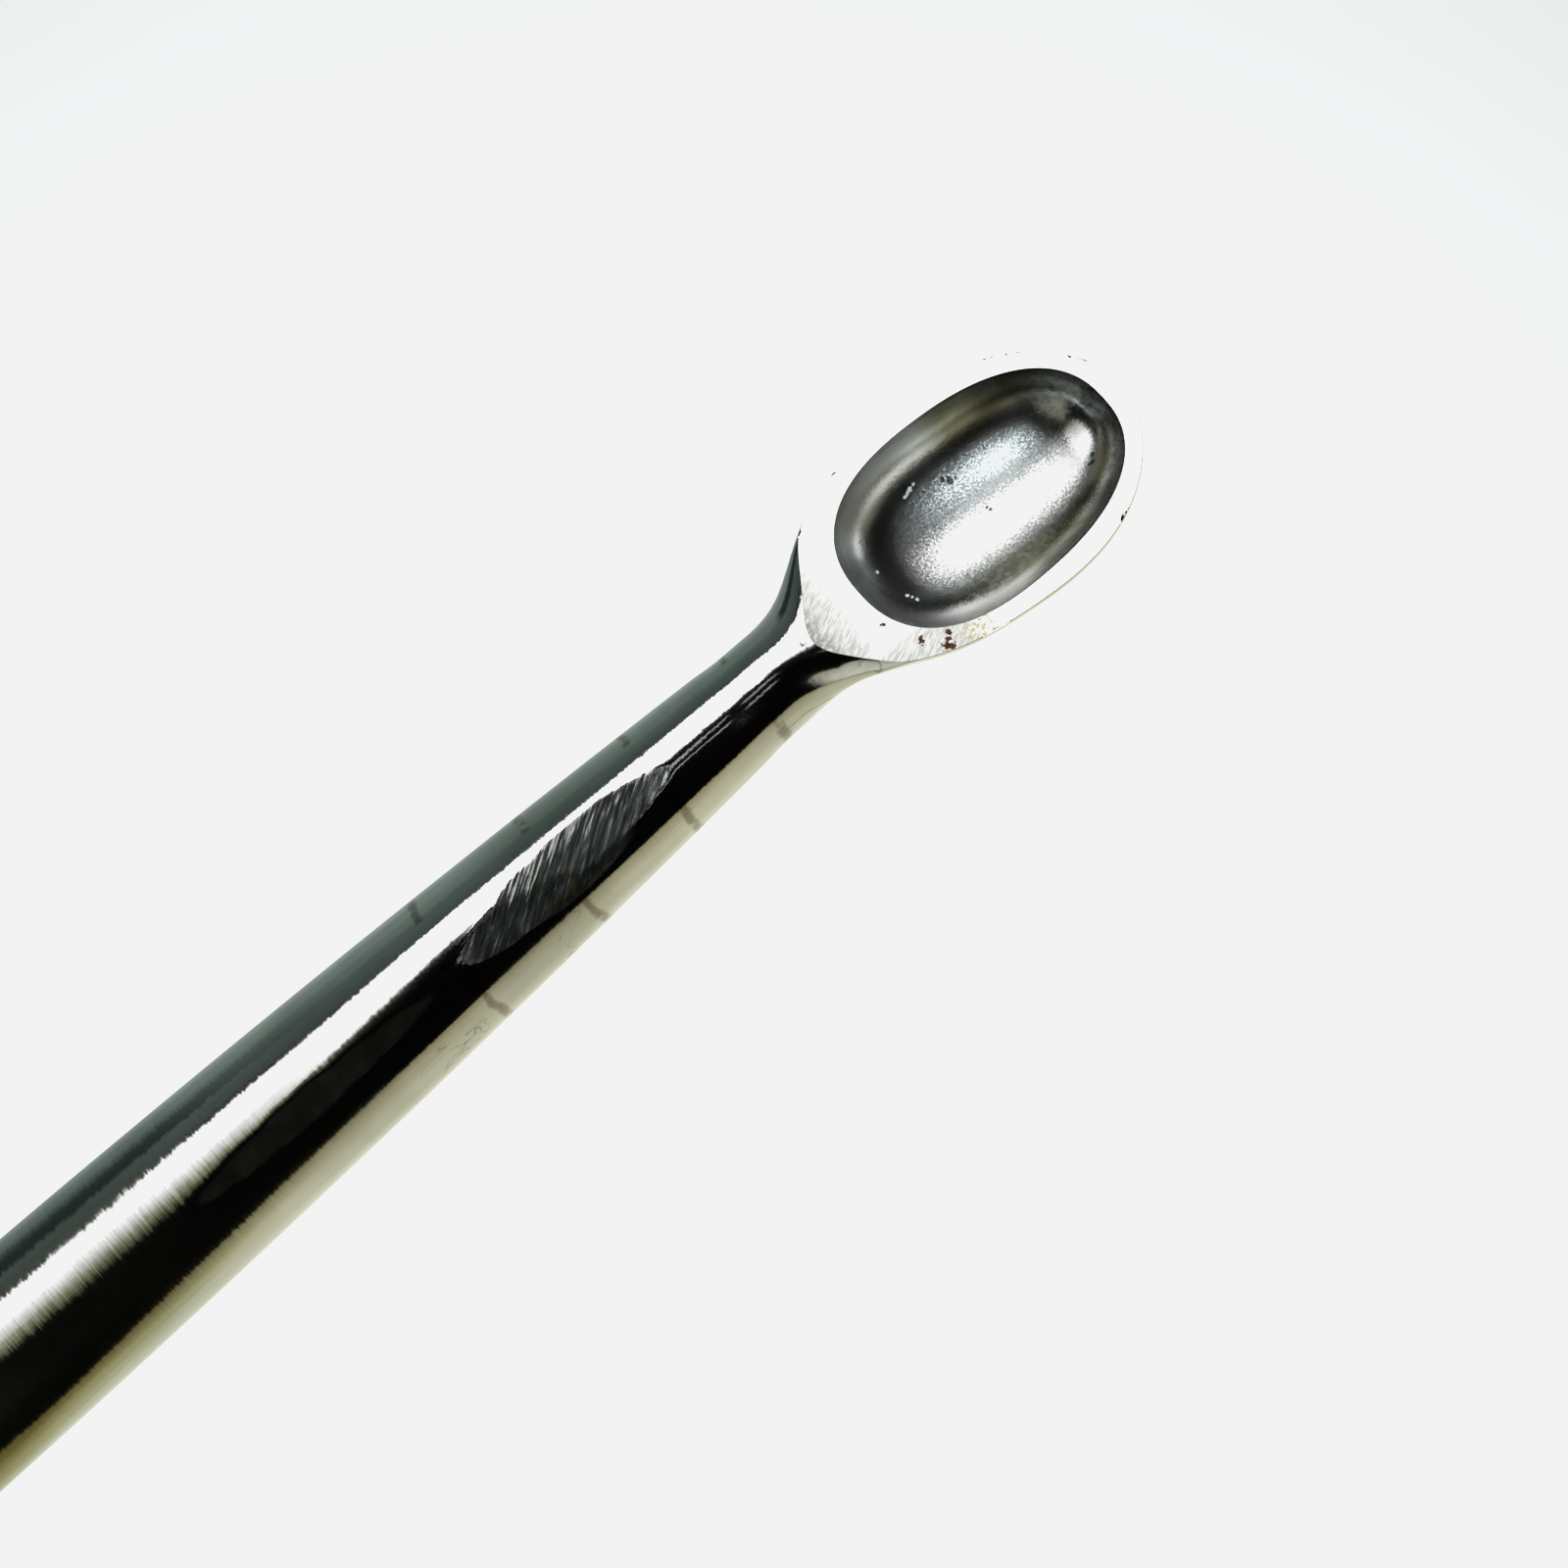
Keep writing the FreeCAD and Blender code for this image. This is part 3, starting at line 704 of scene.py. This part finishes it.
def braze():
    t = Metal("silver_braze", (0.80, 0.72, 0.52), 0.35)
    cloud = t.noise(1200, detail=4)
    t.set("Base Color", t.mix(t.ramp(cloud, 0.35, 0.7), (0.80, 0.72, 0.52), (0.62, 0.54, 0.40)))
    t.set("Roughness", t.ramp(cloud, 0.3, 0.75, 0.28, 0.5))
    t.set("Normal", t.bump(cloud, 0.00003))
    return t.material


# ---------------------------------------------------------------- stage
# Lamps, cards and walls are plain glowing sheets that only the steel sees. Their places are in
# millimetres: along the shank from the cup's middle, across it, and up from its axis.
WHITE = 0.896                # what the camera calls white
SOFTBOX = [(-45, 60), (-22, 28), (15, 47), (75, 30), (122, 0), (167, -4), (276, 15), (374, 149),
           (418, 393), (284, 454), (198, 566), (83, 626), (-50, 480), (-89, 300)]
SMALL_LAMP = [(5, -14), (14, -7), (21, -14), (26, -26), (26, -41), (16, -45), (8, -44), (4, -29)]
LINE_LAMPS = ((-4, -9), (-26, -31))    # near and far edges of two thin lamps along the neck


def glow(name, strength):
    """Emission of the sheet's own colours."""
    material = bpy.data.materials.new(name)
    material.use_nodes = True
    nodes, links = material.node_tree.nodes, material.node_tree.links
    nodes.clear()
    emission, shade = nodes.new("ShaderNodeEmission"), nodes.new("ShaderNodeAttribute")
    emission.inputs["Strength"].default_value = strength
    shade.attribute_name = "glow"
    links.new(shade.outputs["Color"], emission.inputs["Color"])
    links.new(emission.outputs[0], nodes.new("ShaderNodeOutputMaterial").inputs["Surface"])
    return material


def stage_sheet(name, verts, faces, colors, strength=1.0, camera=False):
    mesh = bpy.data.meshes.new(name)
    mesh.from_pydata([((CUP_X + x) * MM, y * MM, (AXIS_Z + z) * MM) for x, y, z in verts], [], faces)
    shade = mesh.color_attributes.new("glow", "FLOAT_COLOR", "POINT")
    for item, color in zip(shade.data, colors):
        item.color = (*color, 1)
    mesh.materials.append(glow(name + "_light", strength))
    sheet = bpy.data.objects.new(name, mesh)
    bpy.context.scene.collection.objects.link(sheet)
    sheet.visible_camera, sheet.visible_glossy, sheet.visible_diffuse = camera, not camera, not camera


def panel(name, outline, place, color, strength, fade=0.12):
    """A glowing panel with a soft edge; place turns an outline point into x, y, z."""
    n = len(outline)
    middle = [sum(c) / n for c in zip(*outline)]
    inner = [tuple(m + (c - m) * (1 - fade) for c, m in zip(p, middle)) for p in outline]
    faces = [list(range(n))] + [[i, n + i, n + (i + 1) % n, (i + 1) % n] for i in range(n)]
    stage_sheet(name, [place(*p) for p in inner + outline], faces,
                [color] * n + [(0, 0, 0)] * n, strength)


def grid_sheet(name, columns, rows, place, color, strength=1.0, camera=False):
    """A sheet of columns by rows, coloured point by point."""
    points = [(c, r) for r in rows for c in columns]
    w = len(columns)
    faces = [[i * w + j, i * w + j + 1, (i + 1) * w + j + 1, (i + 1) * w + j]
             for i in range(len(rows) - 1) for j in range(w - 1)]
    stage_sheet(name, [place(*p) for p in points], faces, [color(*p) for p in points], strength, camera)


def overhead(height):
    return lambda along, across: (along, across, height)


def blend(a, b, share):
    return tuple(p + (q - p) * share for p, q in zip(a, b))


def table_color(x, y):
    """Bright round the shank, and a little bluer and darker away from it."""
    light = 1.12 - 0.24 * float(smooth_step(math.hypot(x + 30, y + 12), 36, 78))
    return light * 0.96, light, light * 0.995


SIDE_LAMP_EDGE = {-18: 0.03, -9: 0.15, 1: 0.42, 10: 0.92, 20: 1.3, 40: 2.6}
SIDE_LAMP_TOP = 81.0


def side_lamp_color(x, y):
    """Warm, soft edge towards -Y, sharper round the rest."""
    lift = 8 * float(smooth_step(x, -45, -25))
    soft = float(np.interp(y - lift, list(SIDE_LAMP_EDGE), list(SIDE_LAMP_EDGE.values())))
    edge = float(np.interp(x, (-45, -28), (-6, 20)))
    crisp = 2.6 * float(smooth_step(y, edge - 2, edge + 4))
    lit = soft + (crisp - soft) * float(smooth_step(x, -45, -36))
    top = SIDE_LAMP_TOP + 2.0 * lift
    blur = 7 * float(smooth_step(-x, 40, 60))
    lit *= 1 - float(smooth_step(y, top - 3 - blur, top + 2 + blur))
    lit *= 1 - float(smooth_step(math.hypot((x + 45) / 52, (y - 38) / 60), 0.9, 1.0)) * (x < -45)
    return blend((lit, lit, 0.5 * lit), (lit, lit, lit), min(lit, 1.0))


WALL_FADE = {-10: 1.0, 10: 0.85, 35: 0.6, 80: 0.45, 125: 0.3}


def wall_color(x, z):
    """Dim surroundings beyond the shank, darker upwards, with a dark line at the horizon near the handle."""
    lit = float(np.interp(z, list(WALL_FADE), list(WALL_FADE.values())))
    gap = float(smooth_step(-x, 38, 62)) * (1 - float(smooth_step(z, 36, 50)))
    return tuple(c * lit * (1 - 0.8 * gap) for c in WALL_COLOR)


def corner_card_place(y, share):
    """An upright card far to the handle side, which only the flare below the cup can see."""
    top = float(np.interp(y, (-400, -185), (118, 250)))
    return -150, y, top * share


def corner_card_color(y, share):
    color = blend((0.90, 0.90, 0.76), (0.48, 0.47, 0.36), share ** 2)
    return tuple(c * float(smooth_step(y, -290, -220)) for c in color)


# Colour of the table as the steel sees it, from under the shank outwards: distance in millimetres
NEAR_HEAD = {0: (1.21, 1.23, 1.03), 5: (0.98, 0.97, 0.77), 10: (0.81, 0.79, 0.56), 30: (0.68, 0.64, 0.45),
             80: (0.56, 0.52, 0.34), 150: (0.36, 0.32, 0.18)}
NEAR_HANDLE = {0: (1.15, 1.17, 0.98), 4: (0.87, 0.89, 0.71), 7: (0.60, 0.59, 0.32), 12: (0.40, 0.36, 0.14),
               20: (0.24, 0.20, 0.06), 45: (0.13, 0.10, 0.03)}
FAR_HANDLE = {0: (0.75, 0.80, 0.76), 3: (0.56, 0.61, 0.57), 6: (0.38, 0.44, 0.41), 14: (0.20, 0.26, 0.24),
              40: (0.07, 0.10, 0.09), 150: (0.02, 0.035, 0.03)}
FAR_HEAD = {0: (0.90, 0.95, 0.90), 3: (0.60, 0.66, 0.62), 6: (0.42, 0.48, 0.45), 14: (0.26, 0.32, 0.29),
            40: (0.20, 0.26, 0.23), 150: (0.18, 0.23, 0.205)}
WALL_COLOR = (0.20, 0.26, 0.235)
CARD_BEND = (-60.0, -32.0)   # stations between which the cards change from the handle's to the head's
CARD_RISE = 34.0


BACKDROP_RADIUS = 2600.0


def scale_color(scale, distance):
    stops = sorted(scale)
    return tuple(float(np.interp(distance, stops, [scale[k][i] for k in stops])) for i in range(3))


def near_card_place(x, share):
    head = float(smooth_step(x, *CARD_BEND))
    reach = 45 + 105 * head
    return x, -reach * share, -AXIS_Z - 0.2 + CARD_RISE * head * share ** 2


def near_card_color(x, share):
    head = float(smooth_step(x, *CARD_BEND))
    return blend(scale_color(NEAR_HANDLE, 45 * share), scale_color(NEAR_HEAD, 150 * share), head)


def far_card_color(x, y):
    return blend(scale_color(FAR_HANDLE, y), scale_color(FAR_HEAD, y), float(smooth_step(x, *CARD_BEND)))


def make_backdrop():
    """A pale dome behind the table, for views from the side."""
    turns, lifts = np.linspace(0, 2 * math.pi, 49), np.linspace(-0.02, math.pi / 2, 13)

    def place(turn, lift):
        reach = BACKDROP_RADIUS * math.cos(lift)
        return reach * math.cos(turn), reach * math.sin(turn), BACKDROP_RADIUS * math.sin(lift)

    grid_sheet("backdrop", turns, lifts, place, lambda turn, lift: (0.84, 0.87, 0.87), camera=True)


def make_stage():
    world = bpy.data.worlds.new("world")
    world.use_nodes = True
    world.node_tree.nodes["Background"].inputs["Color"].default_value = (0.001, 0.0015, 0.001, 1)
    bpy.context.scene.world = world
    spread = np.sign(np.linspace(-1, 1, 61)) * np.abs(np.linspace(-1, 1, 61)) ** 3 * 3000
    grid_sheet("table", spread, spread, lambda x, y: (x, y, -AXIS_Z - 0.1), table_color, camera=True)
    near = np.linspace(0, 1, 41) ** 2
    grid_sheet("near_card", np.linspace(-180, 160, 35), near, near_card_place, near_card_color)
    grid_sheet("far_card", np.linspace(-180, 160, 35), 150 * near, lambda x, y: (x, y, -AXIS_Z - 0.2),
               far_card_color)
    panel("softbox", SOFTBOX, overhead(300), (1, 1, 1), 3.6, 0.05)
    grid_sheet("side_lamp", np.linspace(-100, -25, 51), np.linspace(-19, 100, 80), overhead(80),
               side_lamp_color)
    panel("small_lamp", SMALL_LAMP, overhead(55), (0.85, 0.95, 1.0), 6.0)
    for number, (low, high) in enumerate(LINE_LAMPS):
        outline = [(-24, low), (6, low), (6, high), (-24, high)]
        panel(f"line_lamp_{number}", outline, overhead(100), (0.95, 0.98, 1.0), 0.7, 0.4)
    grid_sheet("far_wall", np.linspace(-180, 260, 45), np.linspace(-AXIS_Z - 0.3, 130, 28),
               lambda along, up: (along, 150, up), wall_color)
    grid_sheet("corner_card", np.linspace(-290, -60, 18), np.linspace(0, 1, 12), corner_card_place,
               corner_card_color)
    make_backdrop()
    view = bpy.context.scene.view_settings
    view.view_transform = "Standard"
    view.use_curve_mapping = True
    view.curve_mapping.extend = "HORIZONTAL"
    view.curve_mapping.curves[3].points[1].location = (1.0, WHITE)
    view.curve_mapping.update()


# ---------------------------------------------------------------- assembly
def dress_cad_nodes():
    turned, satin, filler = turned_steel(), satin_steel(), braze()
    wears = {"front_collar": turned, "rear_plug": turned, "cross_pin": turned, "tang_bush": turned,
             "handle_shell_top": satin, "handle_shell_bottom": satin}
    for name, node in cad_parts.items():
        material = wears.get(name, filler)
        for slot in node.material_slots:
            slot.material = material


def make_forging():
    verts, faces, kinds = forging()
    materials = {"skin": polished_steel(), "land": land_steel(), "cup": cup_steel()}
    piece = build_mesh("ground_forging", verts, faces, materials, kinds)
    mark_facets(piece, verts)
    mark_wall(piece, verts)
    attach(piece, "root")
    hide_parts("cup_shank")
    return piece


make_camera()
make_stage()
dress_cad_nodes()
make_forging()
